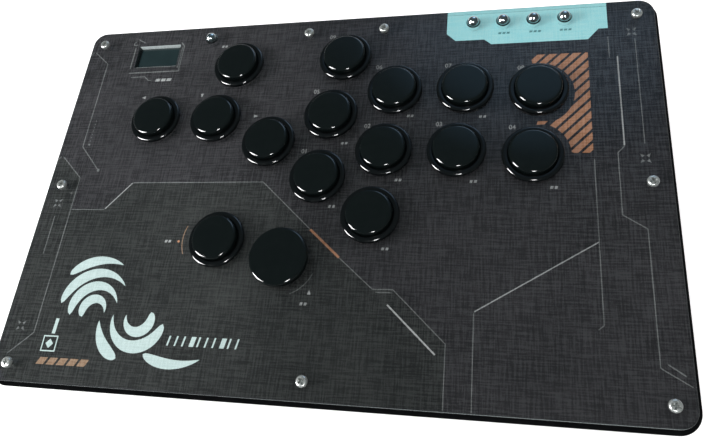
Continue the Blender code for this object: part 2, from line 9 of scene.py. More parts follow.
import bmesh
import bpy
from mathutils import Euler, Matrix, Vector


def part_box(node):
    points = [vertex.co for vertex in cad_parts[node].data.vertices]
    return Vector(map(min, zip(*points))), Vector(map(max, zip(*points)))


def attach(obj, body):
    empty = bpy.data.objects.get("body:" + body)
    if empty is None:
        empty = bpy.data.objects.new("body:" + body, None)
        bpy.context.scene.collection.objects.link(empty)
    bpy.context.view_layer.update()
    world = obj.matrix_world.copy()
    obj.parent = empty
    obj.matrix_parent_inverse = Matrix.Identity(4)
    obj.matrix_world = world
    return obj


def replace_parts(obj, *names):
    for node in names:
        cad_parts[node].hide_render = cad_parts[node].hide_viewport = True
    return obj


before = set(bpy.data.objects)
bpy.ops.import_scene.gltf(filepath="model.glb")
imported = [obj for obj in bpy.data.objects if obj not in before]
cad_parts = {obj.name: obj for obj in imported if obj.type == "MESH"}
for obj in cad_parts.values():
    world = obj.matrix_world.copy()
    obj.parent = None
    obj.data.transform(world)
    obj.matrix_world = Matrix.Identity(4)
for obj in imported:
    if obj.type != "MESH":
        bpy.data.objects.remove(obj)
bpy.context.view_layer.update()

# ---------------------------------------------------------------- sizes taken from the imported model

CASE_LOW, CASE_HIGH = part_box("base_case")
PLATE_LOW, PLATE_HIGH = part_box("clear_cover")
ART_LOW, ART_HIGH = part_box("art_sheet")
TOP = PLATE_HIGH.z
PLATE_SIZE = (PLATE_HIGH - PLATE_LOW).xy
CASE_SIZE = (CASE_HIGH - CASE_LOW).xy
BUTTONS = sorted(name[8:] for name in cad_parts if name.startswith("plunger_"))
KEYS = ["key_1", "key_2", "key_3", "key_4", "key_lock"]
SCREWS = sorted(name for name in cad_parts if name.startswith("screw_"))
FEET = sorted(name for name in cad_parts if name.startswith("foot_"))

# ---------------------------------------------------------------- sizes of the fine shapes

# A gap or a layer too thin to be seen
HAIR = 0.00003

# Case and plate
PLATE_CORNER = 0.007
CASE_CORNER = 0.009
WALL = 0.003
DRAFT = 0.0014
FLOOR = 0.0025
CORNER_STEPS = 16
HOLE_STEPS = 64
TURN_STEPS = 96
SMALL_TURN_STEPS = 64
SMALL_HOLE_STEPS = 24

HOLE_RADIUS = 0.0126
KEY_HOLE_RADIUS = 0.0032
SCREW_HOLE_RADIUS = 0.0016
SCREW_HOLE_DEPTH = 0.020
BOSS_RADIUS = 0.004
BOSS_TOP = 0.0277
FOOT_POCKET_RADIUS = 0.0083
FOOT_POCKET_DEPTH = 0.0006
SOCKET_MOUTH = (0.0098, 0.0041)
WINDOW_CENTRE = Vector((-0.1070, 0.07875))
WINDOW_SIZE = Vector((0.0250, 0.0135))
WINDOW_CORNER = 0.0004
COVER_EDGE = 0.00025
COVER_LIFT = 0.0001

# Push buttons: heights count up from the face of the cover, and depths down from it
FLANGE_RADIUS = 0.0136
FLANGE_HEIGHT = 0.0018
FLANGE_ROUND = 0.0010
BORE_RADIUS = 0.0110
LOWER_BORE_RADIUS = 0.01145
BARREL_RADIUS = 0.0120
BARREL_DEPTH = 0.0110
SHOULDER_DEPTH = 0.0020
CAP_RADIUS = 0.01075
CAP_HEIGHT = 0.0046
CAP_ROUND = 0.0012
CAP_CROWN = 0.00012
RIM_RADIUS = 0.0112
RIM_THICKNESS = 0.0012
STEM_RADIUS = 0.0030
STEM_DEPTH = 0.0136
WIDE_RADIUS = 0.0136
WIDE_HEIGHT = 0.0051
WIDE_EDGE = 0.0029
WIDE_CEILING = 0.0042
WIDE_SKIRT = 0.00065
LOW_FLANGE_RADIUS = 0.0126
LOW_FLANGE_HEIGHT = 0.0015
LOW_FLANGE_ROUND = 0.0008

# Cover screws; the recess is given as the length and width of its arms
SCREW_HEAD_RADIUS = 0.0025
SCREW_HEAD_HEIGHT = 0.0018
SCREW_HEAD_ROUND = 0.0009
SCREW_RADIUS = 0.0012
SCREW_LENGTH = 0.012
RECESS_DEPTH = 0.0014
RECESS_FLOOR = (0.0016, 0.0006)
RECESS_MOUTH = (0.0032, 0.00095)

# Dome keys
DOME_RADIUS = 0.0030
DOME_WALL = 0.0002
KEY_FLANGE_RADIUS = 0.0042
KEY_FLANGE_THICKNESS = 0.0010

# Feet, boards, display and socket
FOOT_RADIUS = 0.008
MAIN_BOARD_TOP = 0.0140
SMALL_BOARD_TOP = 0.0228
BOARD_MARGIN = 0.0002
TACT_SIDE = 0.006
TACT_HEIGHT = 0.0033
GLASS_RISE = 0.0008
SOCKET_SKIN = 0.00035

# Print: the thickness of one colour, the threads of the linen look, the painted shade of the middle of the
# sheet against its left end, which is painted as lit by the window, and the usual width of a line in
# millimetres
INK = 0.00002
THREAD_LENGTH = 0.0120
THREAD_WIDTH = 0.00075
PAINTED_MIDDLE_SHADE = 0.6
THIN_LINE = 0.4

CAMERA_PLACE = Vector((0.0840, -0.1093, TOP + 0.2446))

# The pieces that mirror the highlight lights
POLISHED = bpy.data.collections.new("polished")
POLISHED_SLOTS = ("cap_plastic", "housing_plastic", "key_chrome", "screw_steel")

# ---------------------------------------------------------------- outlines


def arc(centre, radius, start, end, steps):
    """Points along an arc, with the angles in degrees."""
    turns = [math.radians(start + (end - start) * i / steps) for i in range(steps + 1)]
    return [Vector((centre[0] + radius * math.cos(t), centre[1] + radius * math.sin(t))) for t in turns]


def circle(centre, radius, steps=HOLE_STEPS):
    return arc(centre, radius, 0, 360, steps)[:-1]


def rounded(size, radius, centre=(0, 0), steps=CORNER_STEPS):
    """A rectangle with round corners, counter-clockwise."""
    points = []
    for quarter, (sx, sy) in enumerate([(1, 1), (-1, 1), (-1, -1), (1, -1)]):
        corner = (centre[0] + sx * (size[0] / 2 - radius), centre[1] + sy * (size[1] / 2 - radius))
        points += arc(corner, radius, 90 * quarter, 90 * quarter + 90, steps)
    return points


def stadium(width, height, steps=12):
    """A slot with half-round ends, counter-clockwise."""
    reach = width / 2 - height / 2
    return arc((reach, 0), height / 2, -90, 90, steps) + arc((-reach, 0), height / 2, 90, 270, steps)


def stroke(points, width):
    """The outline of a line of even width along a path, with mitred corners."""
    path = [Vector(point) for point in points]
    runs = [(b - a).normalized() for a, b in zip(path, path[1:])]
    left = []
    right = []
    for i, place in enumerate(path):
        before = runs[max(i - 1, 0)]
        after = runs[min(i, len(runs) - 1)]
        across = Vector((-before.y - after.y, before.x + after.x)).normalized()
        reach = width / 2 / max(across.dot(Vector((-after.y, after.x))), 0.3)
        left.append(place + across * reach)
        right.append(place - across * reach)
    return right + left[::-1]


def brush(centre, radius, start, end, width, steps=28):
    """A brush stroke along an arc: it swells soon after its start and runs out in a long tail."""
    swell = [width / 2 * math.sin(math.pi * (i / steps) ** 0.65) ** 0.8 for i in range(1, steps)]
    line = arc(centre, radius, start, end, steps)
    middle = Vector(centre)
    out = [p + (p - middle).normalized() * s for p, s in zip(line[1:-1], swell)]
    back = [p - (p - middle).normalized() * s for p, s in zip(line[1:-1], swell)]
    return [line[0]] + out + [line[-1]] + back[::-1]


# ---------------------------------------------------------------- meshes


def new_object(name, data):
    """A new object in the scene."""
    thing = bpy.data.objects.new(name, data)
    bpy.context.scene.collection.objects.link(thing)
    return thing


def curve_mesh(curve):
    """The mesh of a curve or a text, which is removed."""
    carrier = new_object("carrier", curve)
    graph = bpy.context.evaluated_depsgraph_get()
    mesh = bpy.data.meshes.new_from_object(carrier.evaluated_get(graph))
    bpy.data.objects.remove(carrier)
    bpy.data.curves.remove(curve)
    return mesh


def opened(mesh):
    """The bmesh of a mesh, which is removed."""
    bm = bmesh.new()
    bm.from_mesh(mesh)
    bpy.data.meshes.remove(mesh)
    return bm


def closed_mesh(bm, angle=35):
    """Welds, orients and shades a bmesh, and returns it as a mesh."""
    bmesh.ops.remove_doubles(bm, verts=bm.verts, dist=1e-7)
    bmesh.ops.recalc_face_normals(bm, faces=bm.faces)
    mesh = bpy.data.meshes.new("mesh")
    bm.to_mesh(mesh)
    bm.free()
    mesh.shade_smooth()
    mesh.set_sharp_from_angle(angle=math.radians(angle))
    return mesh


def plate_mesh(outlines, low, high, edge=0.0, steps=2):
    """A thick plate: the first outline runs counter-clockwise, and the holes are turned clockwise here."""
    curve = bpy.data.curves.new("plate", "CURVE")
    curve.dimensions = "2D"
    curve.fill_mode = "BOTH"
    curve.extrude = (high - low) / 2 - edge
    curve.bevel_depth = edge
    curve.bevel_resolution = steps
    curve.offset = -edge
    for i, outline in enumerate(outlines):
        places = outline if i == 0 else outline[::-1]
        spline = curve.splines.new("POLY")
        spline.points.add(len(places) - 1)
        for point, place in zip(spline.points, places):
            point.co = (place[0], place[1], 0, 1)
        spline.use_cyclic_u = True
    mesh = curve_mesh(curve)
    mesh.transform(Matrix.Translation((0, 0, (low + high) / 2)))
    return closed_mesh(opened(mesh), 10)


def flat_bottomed(mesh, height):
    """The part of a mesh above a height, closed with a flat face."""
    bm = opened(mesh)
    parts = bm.verts[:] + bm.edges[:] + bm.faces[:]
    bmesh.ops.bisect_plane(bm, geom=parts, plane_co=(0, 0, height), plane_no=(0, 0, -1), clear_outer=True)
    bmesh.ops.triangle_fill(bm, edges=[edge for edge in bm.edges if edge.is_boundary], use_beauty=True)
    return closed_mesh(bm, 10)


def prism(bm, outline, low, high):
    """Adds a flat outline, thickened, to a bmesh."""
    base = bm.faces.new([bm.verts.new((place[0], place[1], low)) for place in outline])
    lifted = bmesh.ops.extrude_face_region(bm, geom=[base])["geom"]
    points = [item for item in lifted if isinstance(item, bmesh.types.BMVert)]
    bmesh.ops.translate(bm, verts=points, vec=(0, 0, high - low))


def prisms_mesh(outlines, low, high):
    bm = bmesh.new()
    for outline in outlines:
        prism(bm, outline, low, high)
    return closed_mesh(bm)


def turned_mesh(profile, steps=TURN_STEPS, angle=35):
    """A profile of (radius, height) points turned about Z; it is closed unless it ends on the axis."""
    bm = bmesh.new()
    points = [bm.verts.new((radius, 0, height)) for radius, height in profile]
    pairs = list(zip(points, points[1:]))
    if profile[0][0] > 0:
        pairs.append((points[-1], points[0]))
    edges = [bm.edges.new(pair) for pair in pairs]
    bmesh.ops.spin(bm, geom=points + edges, axis=(0, 0, 1), cent=(0, 0, 0), angle=math.tau, steps=steps)
    return closed_mesh(bm, angle)


def rings_mesh(rings, angle=35):
    """A closed shell through rings of points that all have the same number of points."""
    bm = bmesh.new()
    loops = [[bm.verts.new(point) for point in ring] for ring in rings]
    for lower, upper in zip(loops, loops[1:]):
        for i in range(len(lower)):
            j = (i + 1) % len(lower)
            bm.faces.new((lower[i], lower[j], upper[j], upper[i]))
    bm.faces.new(loops[0][::-1])
    bm.faces.new(loops[-1])
    return closed_mesh(bm, angle)


def at_height(outline, height):
    return [(place[0], place[1], height) for place in outline]


def combined(mesh, steps):
    """The mesh after a list of (operation, cutter mesh) steps."""
    carrier = new_object("carrier", mesh)
    helpers = []
    for operation, cutter in steps:
        helper = new_object("helper", cutter)
        helpers.append(helper)
        step = carrier.modifiers.new("step", "BOOLEAN")
        step.operation = operation
        step.solver = "EXACT"
        step.object = helper
    graph = bpy.context.evaluated_depsgraph_get()
    result = bpy.data.meshes.new_from_object(carrier.evaluated_get(graph))
    for thing in helpers + [carrier]:
        bpy.data.objects.remove(thing)
    return closed_mesh(opened(result))


def fillet(centre, radius, start, end, steps=6):
    """Round stretch of a profile of (radius, height) points."""
    return [tuple(point) for point in arc(centre, radius, start, end, steps)]


# ---------------------------------------------------------------- node graphs


def srgb(red, green, blue):
    """A colour that is given as it looks on screen, 0 to 255."""
    parts = [value / 255 for value in (red, green, blue)]
    return tuple(v / 12.92 if v <= 0.04045 else ((v + 0.055) / 1.055) ** 2.4 for v in parts) + (1,)


def direction(azimuth, elevation):
    """The unit vector towards an azimuth, counted from +X towards +Y, and a height over the horizon."""
    a = math.radians(azimuth)
    e = math.radians(elevation)
    return Vector((math.cos(a) * math.cos(e), math.sin(a) * math.cos(e), math.sin(e)))


class Graph:
    """A tree of shader nodes, written as nested calls."""

    def __init__(self, tree):
        self.tree = tree
        tree.nodes.clear()

    def add(self, kind, inputs=None, output=0, **settings):
        """Adds a node, with sockets or values for its inputs, and returns one of its outputs."""
        node = self.tree.nodes.new("ShaderNode" + kind)
        for name, value in settings.items():
            setattr(node, name, value)
        for name, value in (inputs or {}).items():
            socket = node.inputs[name]
            if isinstance(value, bpy.types.NodeSocket):
                self.tree.links.new(value, socket)
            else:
                socket.default_value = value
        return node.outputs[output]

    def math(self, operation, *values, clamp=False):
        return self.add("Math", dict(enumerate(values)), operation=operation, use_clamp=clamp)

    def step(self, value, low, high, to_low=0.0, to_high=1.0):
        """A smooth change from one value to another as the input goes from low to high."""
        inputs = {"Value": value, "From Min": low, "From Max": high, "To Min": to_low, "To Max": to_high}
        return self.add("MapRange", inputs, interpolation_type="SMOOTHSTEP")

    def mix(self, factor, first, second):
        return self.add("Mix", {0: factor, 6: first, 7: second}, output=2, data_type="RGBA")

    def place(self):
        return self.add("TexCoord", output="Object")

    def noise(self, size, detail=2.0, roughness=0.5, offset=0.0):
        """Noise whose features measure about the given lengths along X, Y and Z."""
        if isinstance(size, float):
            size = (size, size, size)
        scale = [1 / length for length in size]
        moved = self.add("Mapping", {"Vector": self.place(), "Location": [offset] * 3, "Scale": scale})
        inputs = {"Vector": moved, "Scale": 1.0, "Detail": detail, "Roughness": roughness}
        return self.add("TexNoise", inputs)

    def bump(self, height, distance, normal=None):
        inputs = {"Height": height, "Distance": distance}
        if normal is not None:
            inputs["Normal"] = normal
        return self.add("Bump", inputs)

    def axes(self):
        """The place along X and along Y."""
        place = self.place()
        return [self.add("SeparateXYZ", {0: place}, output=axis) for axis in (0, 1)]

    def finish(self, shader, kind="OutputMaterial"):
        """Links the shader to the output of the tree."""
        node = self.tree.nodes.new("ShaderNode" + kind)
        self.tree.links.new(shader, node.inputs["Surface"])


def new_material(name):
    material = bpy.data.materials.new(name)
    material.use_nodes = True
    return material, Graph(material.node_tree)


# ---------------------------------------------------------------- materials


def grained(name, dark, light, grain, roughness, depth, metallic=0.0, specular=0.5):
    """A moulded or cast surface: grain in the colour, the roughness and the relief."""
    material, g = new_material(name)
    speck = g.noise(grain, detail=3.0)
    cloud = g.noise(0.012, detail=2.0)
    tone = g.math("ADD", g.math("MULTIPLY", speck, 0.6), g.math("MULTIPLY", cloud, 0.4))
    blend = g.step(tone, 0.35, 0.65)
    shader = g.add("BsdfPrincipled", {
        "Base Color": g.mix(blend, dark, light),
        "Roughness": g.step(speck, 0.3, 0.7, roughness[0], roughness[1]),
        "Metallic": metallic,
        "Specular IOR Level": specular,
        "Normal": g.bump(speck, depth),
    })
    g.finish(shader)
    return material


def gloss_plastic(name, dark, light, roughness):
    """Polished black plastic with faint finger marks and hairline scratches."""
    material, g = new_material(name)
    smudge = g.noise(0.004, detail=4.0, roughness=0.6)
    hairs = g.noise((0.0001, 0.006, 0.006), detail=1.0)
    marks = g.math("MAXIMUM", g.step(smudge, 0.45, 0.75), g.step(hairs, 0.68, 0.75))
    shader = g.add("BsdfPrincipled", {
        "Base Color": g.mix(smudge, dark, light),
        "Roughness": g.step(marks, 0.0, 1.0, roughness[0], roughness[1]),
        "Normal": g.bump(g.noise(0.0012, detail=2.0), 0.000002),
    })
    g.finish(shader)
    return material


def linen(name, dark, light, painted_rear_shade=0.0):
    """Printed film with the look of coarse linen, with painted light and shade in its colour; the last
    argument is the painted shade for the right rear of the sheet.
    """
    material, g = new_material(name)
    weft = g.noise((THREAD_LENGTH, THREAD_WIDTH, 1.0), detail=2.0, roughness=0.6)
    warp = g.noise((THREAD_WIDTH, THREAD_LENGTH, 1.0), detail=2.0, roughness=0.6, offset=7.0)
    speck = g.noise(0.0007, detail=2.0)
    threads = g.math("ADD", g.math("MULTIPLY", weft, 0.42), g.math("MULTIPLY", warp, 0.42))
    weave = g.math("ADD", threads, g.math("MULTIPLY", speck, 0.16))
    cloud = g.noise(0.030, detail=3.0)
    tone = g.math("ADD", g.math("MULTIPLY", weave, 0.8), g.math("MULTIPLY", cloud, 0.2))
    # Painted light and shade: the colour keeps full strength at the left end, as if lit by the window,
    # falls to the painted shade in the middle, is a little lighter at the right front, and is darker at the
    # right rear by the painted rear shade
    across, deep = g.axes()
    left = g.step(across, -0.060, 0.010, 1.0, 0.0)
    rear = g.step(deep, -0.020, 0.030, 0.20, 0.20 - painted_rear_shade)
    right = g.math("MULTIPLY", g.step(across, 0.030, 0.090), rear)
    painted_end_light = g.math("MULTIPLY", g.math("ADD", left, right), 1 - PAINTED_MIDDLE_SHADE)
    painted_light = g.math("ADD", PAINTED_MIDDLE_SHADE, painted_end_light)
    shaded = g.mix(g.step(tone, 0.38, 0.62), dark, light)
    shader = g.add("BsdfPrincipled", {
        "Base Color": g.add("VectorMath", {0: shaded, 1: painted_light}, operation="MULTIPLY"),
        "Roughness": 0.3,
        "Specular IOR Level": g.step(weave, 0.42, 0.60, 0.05, 0.65),
        "Normal": g.bump(weave, 0.00004),
    })
    g.finish(shader)
    return material


def acrylic_face(name):
    """The polished faces of the cover: clear, with a sharp reflection and a few hairlines."""
    material, g = new_material(name)
    hairs = g.step(g.noise((0.0002, 0.020, 1.0), detail=1.0), 0.70, 0.80, 0.07, 0.12)
    gloss = g.add("BsdfGlossy", {"Color": (1, 1, 1, 1), "Roughness": hairs})
    clear = g.add("BsdfTransparent", {"Color": (0.96, 0.96, 0.96, 1)})
    inside = g.add("NewGeometry", output="Backfacing")
    mirror = g.add("Fresnel", {"IOR": 1.49})
    share = g.math("MULTIPLY", mirror, g.math("SUBTRACT", 1.0, inside))
    g.finish(g.add("MixShader", {0: share, 1: clear, 2: gloss}))
    return material


def acrylic_edge(name, bright):
    """The cut edges of the cover: a glow painted into their colour on the faces that look towards the
    window, and mirrors from inside the sheet.
    """
    material, g = new_material(name)
    marks = g.noise((0.00025, 0.00025, 0.003), detail=2.0)
    # Painted light: the edge colour is lifted towards the bright colour where a face looks towards the
    # window. The lift is full at the rear and round the display window, less further forward, and least
    # towards the left. The noise marks vary this painted glow.
    normal = g.add("NewGeometry", output="Normal")
    toward = g.add("VectorMath", {0: normal, 1: direction(236, 0)}, output="Value", operation="DOT_PRODUCT")
    across, deep = g.axes()
    front = g.step(across, -0.10, 0.15, 0.12, 0.36)
    share = g.step(deep, 0.04, 0.06, front, 1.0)
    marks_and_painted_light = g.math("MULTIPLY", share, g.step(marks, 0.3, 0.7, 0.7, 1.0))
    painted_glow = g.math("MULTIPLY", g.step(toward, 0.1, 0.8), marks_and_painted_light)
    edge = g.add("BsdfPrincipled", {
        "Base Color": g.mix(painted_glow, srgb(24, 30, 31), bright),
        "Roughness": g.step(marks, 0.3, 0.7, 0.12, 0.3),
        "Normal": g.bump(marks, 0.00001),
    })
    mirror = g.add("BsdfGlossy", {"Color": (0.94, 0.95, 0.95, 1), "Roughness": 0.02})
    inside = g.add("NewGeometry", output="Backfacing")
    solid = g.add("MixShader", {0: inside, 1: edge, 2: mirror})
    clear = g.add("BsdfTransparent", {"Color": (0.96, 0.96, 0.96, 1)})
    rays = [g.add("LightPath", output=kind) for kind in ("Is Camera Ray", "Is Glossy Ray")]
    g.finish(g.add("MixShader", {0: g.math("MAXIMUM", *rays), 1: clear, 2: solid}))
    return material


def turned_metal(name, dark, light, roughness, metallic=1.0):
    """Plated metal with faint turning rings about its own axis."""
    material, g = new_material(name)
    rings = g.add("TexWave", {
        "Vector": g.place(), "Scale": 900.0, "Distortion": 2.0, "Detail": 2.0,
    }, wave_type="RINGS", rings_direction="Z")
    stain = g.noise(0.0015, detail=3.0)
    shader = g.add("BsdfPrincipled", {
        "Base Color": g.mix(stain, dark, light),
        "Metallic": metallic,
        "Roughness": g.step(stain, 0.3, 0.7, roughness[0], roughness[1]),
        "Normal": g.bump(rings, 0.000003),
    })
    g.finish(shader)
    return material


def screen_glass(name, dark, light):
    """Display glass: dark teal, with a barely visible grid of dots under the polish."""
    material, g = new_material(name)
    pitch = 0.00017
    waves = [g.math("SINE", g.math("MULTIPLY", axis, math.tau / pitch)) for axis in g.axes()]
    dots = g.step(g.math("ADD", *waves), -1.0, 1.5)
    haze = g.noise(0.008, detail=2.0)
    shader = g.add("BsdfPrincipled", {
        "Base Color": g.mix(g.math("ADD", g.math("MULTIPLY", dots, 0.3), haze), dark, light),
        "Roughness": g.step(haze, 0.3, 0.7, 0.05, 0.12),
        "Coat Weight": 0.5,
        "Coat Roughness": 0.03,
    })
    g.finish(shader)
    return material


def circuit_board(name, raised_from):
    """Green solder mask with copper tracks, and black plastic from a height upwards."""
    material, g = new_material(name)
    tracks = g.add("TexBrick", {
        "Vector": g.place(), "Scale": 120.0, "Mortar Size": 0.012, "Mortar Smooth": 0.3,
        "Color1": srgb(9, 74, 42), "Color2": srgb(7, 60, 35), "Mortar": srgb(30, 122, 76),
    })
    weave = g.noise(0.0004, detail=1.0)
    mask = g.mix(g.math("MULTIPLY", weave, 0.4), tracks, srgb(4, 40, 24))
    height = g.add("SeparateXYZ", {0: g.place()}, output=2)
    raised = g.math("GREATER_THAN", height, raised_from)
    shader = g.add("BsdfPrincipled", {
        "Base Color": g.mix(raised, mask, g.mix(weave, srgb(16, 17, 18), srgb(28, 29, 30))),
        "Roughness": g.math("ADD", 0.3, g.math("MULTIPLY", weave, 0.3)),
        "Normal": g.bump(weave, 0.00001),
    })
    g.finish(shader)
    return material


def ribbed(name, dark, light, pitch):
    """Ribbon cable: one rib for each conductor, along X."""
    material, g = new_material(name)
    across = g.add("SeparateXYZ", {0: g.place()}, output=0)
    ribs = g.step(g.math("SINE", g.math("MULTIPLY", across, math.tau / pitch)), -1.0, 1.0)
    shader = g.add("BsdfPrincipled", {
        "Base Color": g.mix(g.math("MULTIPLY", ribs, g.noise(0.002)), dark, light),
        "Roughness": 0.55,
        "Normal": g.bump(ribs, 0.0002),
    })
    g.finish(shader)
    return material


CASE_PLASTIC = grained("case_plastic", srgb(6, 7, 8), srgb(15, 16, 17), 0.00035, (0.5, 0.65), 0.00002,
                       specular=0.02)
PANEL_STEEL = grained("panel_steel", srgb(18, 19, 20), srgb(38, 39, 40), (0.006, 0.0003, 0.0003),
                      (0.35, 0.5), 0.000005, metallic=0.6)
# art_linen and ink_orange carry painted shade at the right rear of the sheet: their last number
ART = linen("art_linen", srgb(42, 42, 44), srgb(68, 67, 70), 0.50)
ART_FIELD = linen("art_field", srgb(40, 42, 42), srgb(65, 67, 66))
CYAN = linen("ink_cyan", srgb(174, 246, 252), srgb(190, 253, 255))
ORANGE = linen("ink_orange", srgb(176, 126, 92), srgb(204, 151, 117), 0.15)
PALE = linen("ink_pale", srgb(186, 207, 205), srgb(206, 226, 224))
BRONZE = linen("ink_bronze", srgb(140, 116, 95), srgb(168, 142, 118))
GREY = linen("ink_grey", srgb(100, 104, 104), srgb(132, 136, 136))
SILVER = linen("ink_silver", srgb(140, 144, 144), srgb(182, 186, 186))
WHITE = linen("ink_white", srgb(170, 174, 174), srgb(206, 210, 210))
TEAL = linen("ink_teal", srgb(84, 146, 150), srgb(104, 166, 170))
COVER_FACE = acrylic_face("acrylic_face")
# The second colour is the painted glow of the cut edges where they face the window
COVER_SIDE = acrylic_edge("acrylic_edge", (0.62, 0.70, 0.70, 1))
CAP_PLASTIC = gloss_plastic("cap_gloss", srgb(5, 9, 9), srgb(10, 15, 15), (0.06, 0.13))
HOUSING_PLASTIC = gloss_plastic("housing_gloss", srgb(5, 7, 8), srgb(10, 12, 13), (0.08, 0.16))
CHROME = turned_metal("key_chrome", (0.40, 0.44, 0.45, 1), (0.50, 0.54, 0.55, 1), (0.10, 0.16))
STEEL = turned_metal("screw_steel", (0.34, 0.36, 0.35, 1), (0.50, 0.52, 0.50, 1), (0.24, 0.36),
                     metallic=0.70)
NICKEL = turned_metal("socket_nickel", (0.55, 0.56, 0.56, 1), (0.66, 0.67, 0.67, 1), (0.2, 0.3))
GOLD = turned_metal("contact_gold", (0.80, 0.58, 0.25, 1), (0.90, 0.68, 0.32, 1), (0.15, 0.25))
TONGUE = grained("tongue_plastic", srgb(12, 12, 13), srgb(22, 22, 23), 0.0002, (0.4, 0.5), 0.000005)
RUBBER = grained("foot_rubber", srgb(16, 16, 17), srgb(36, 36, 37), 0.0003, (0.7, 0.9), 0.00004)
GLASS = gloss_plastic("display_frame", srgb(10, 13, 15), srgb(16, 20, 22), (0.05, 0.1))
SCREEN = screen_glass("display_screen", srgb(16, 27, 29), srgb(28, 42, 44))
RIBBON = ribbed("ribbon_grey", srgb(96, 97, 98), srgb(168, 169, 170), 0.00127)


# ---------------------------------------------------------------- pieces


def piece(name, mesh, materials, slot, body="case", place=(0, 0, 0), turn=0.0):
    """Makes an object of a mesh, which rides on a body of the frame."""
    if not isinstance(materials, tuple):
        materials = (materials,)
    if not mesh.materials:
        for material in materials:
            mesh.materials.append(material)
    thing = new_object(name, mesh)
    thing.location = place
    thing.rotation_euler.z = turn
    if slot in POLISHED_SLOTS:
        POLISHED.objects.link(thing)
    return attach(thing, body)


def middle(node):
    """The centre of a node in plan."""
    low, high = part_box(node)
    return ((low + high) / 2).xy


def on_top(node):
    """The point of the top face over the centre of a node."""
    return (*middle(node), TOP)


def posts(places, radius, low, high, steps=32):
    """Round posts at the given places."""
    return prisms_mesh([circle(place, radius, steps) for place in places], low, high)


def case_section():
    """(inset, height) points of the tray: under the edge, up the wall, over the rim and down inside."""
    low, rim = CASE_LOW.z, CASE_HIGH.z
    base_round = 0.0016
    rim_round = 0.0005
    inner_round = 0.0012
    floor = low + FLOOR
    section = fillet((DRAFT + base_round, low + base_round), base_round, 270, 180)
    section += fillet((rim_round, rim - rim_round), rim_round, 180, 90, 4)
    section += fillet((WALL - rim_round, rim - rim_round), rim_round, 90, 0, 4)
    section += fillet((WALL + DRAFT + inner_round, floor + inner_round), inner_round, 180, 270, 4)
    return section


def make_case():
    """The tray with its screw bosses, the pockets for the feet and the mouth of the socket."""
    rings = []
    for inset, height in case_section():
        size = CASE_SIZE - 2 * Vector((inset, inset))
        rings.append(at_height(rounded(size, CASE_CORNER - inset), height))
    low = CASE_LOW.z
    screws = [middle(name) for name in SCREWS]
    feet = [middle(name) for name in FEET]
    socket_low, socket_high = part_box("usb_socket")
    mouth = prisms_mesh([stadium(*SOCKET_MOUTH)], -WALL, 3 * WALL)
    mouth = facing_rear(mouth, CASE_HIGH.y - WALL, (socket_low.z + socket_high.z) / 2)
    hole_low = TOP - SCREW_HOLE_DEPTH
    steps = [
        ("UNION", posts(screws, BOSS_RADIUS, low + FLOOR / 2, BOSS_TOP)),
        ("DIFFERENCE", posts(screws, SCREW_HOLE_RADIUS, hole_low, CASE_HIGH.z, SMALL_HOLE_STEPS)),
        ("DIFFERENCE", posts(feet, FOOT_POCKET_RADIUS, low - WALL, low + FOOT_POCKET_DEPTH, 48)),
        ("DIFFERENCE", mouth),
    ]
    shell = piece("case_shell", combined(rings_mesh(rings), steps), CASE_PLASTIC, "case_plastic")
    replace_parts(shell, "base_case")


def plate_outlines(size, corner):
    """The outline of a top layer and its holes."""
    outlines = [rounded(size, corner)]
    outlines += [circle(middle(f"plunger_{name}"), HOLE_RADIUS) for name in BUTTONS]
    outlines += [circle(middle(name), KEY_HOLE_RADIUS, 32) for name in KEYS]
    outlines += [circle(middle(name), SCREW_HOLE_RADIUS, SMALL_HOLE_STEPS) for name in SCREWS]
    outlines.append(rounded(WINDOW_SIZE, WINDOW_CORNER, WINDOW_CENTRE, 4))
    return outlines


def make_layers():
    """The printed sheet and the clear cover over it."""
    outlines = plate_outlines(PLATE_SIZE, PLATE_CORNER)
    sheet = piece("art_print", plate_mesh(outlines, ART_LOW.z - 0.0002, ART_HIGH.z), ART, "art_print")
    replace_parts(sheet, "art_sheet")
    bottom = ART_HIGH.z + COVER_LIFT
    mesh = flat_bottomed(plate_mesh(outlines, bottom - 2 * COVER_EDGE, TOP, COVER_EDGE), bottom)
    cover = piece("cover_plate", mesh, (COVER_FACE, COVER_SIDE), "cover_acrylic")
    for polygon in mesh.polygons:
        polygon.material_index = 0 if abs(polygon.normal.z) > 0.999 else 1
    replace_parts(cover, "clear_cover")


def cross(size):
    """The outline of a cross, of a given length and width of arm."""
    b = size[0] / 2
    a = size[1] / 2
    arm = [Vector((b, -a)), Vector((b, a)), Vector((a, a))]
    return [Matrix.Rotation(math.radians(90 * i), 2) @ point for i in range(4) for point in arm]


def make_screws():
    """Pan heads with a cross recess that narrows towards its floor; each one is turned differently."""
    chamfer = 0.00012
    tip = 0.0003
    turn = 0.65
    profile = crown_profile(SCREW_HEAD_RADIUS, SCREW_HEAD_HEIGHT, SCREW_HEAD_ROUND)
    profile += [
        (SCREW_HEAD_RADIUS, HAIR + chamfer),
        (SCREW_HEAD_RADIUS - chamfer, HAIR),
        (SCREW_RADIUS, HAIR),
        (SCREW_RADIUS, tip - SCREW_LENGTH),
        (SCREW_RADIUS - tip, -SCREW_LENGTH),
        (0, -SCREW_LENGTH),
    ]
    floor = at_height(cross(RECESS_FLOOR), SCREW_HEAD_HEIGHT - RECESS_DEPTH)
    mouth = at_height(cross(RECESS_MOUTH), SCREW_HEAD_HEIGHT + 0.0001)
    solid = turned_mesh(profile, SMALL_TURN_STEPS)
    mesh = combined(solid, [("DIFFERENCE", rings_mesh([floor, mouth]))])
    for i, name in enumerate(SCREWS):
        screw = piece("pan_head_" + name[6:], mesh, STEEL, "screw_steel", place=on_top(name), turn=i * turn)
        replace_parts(screw, name)


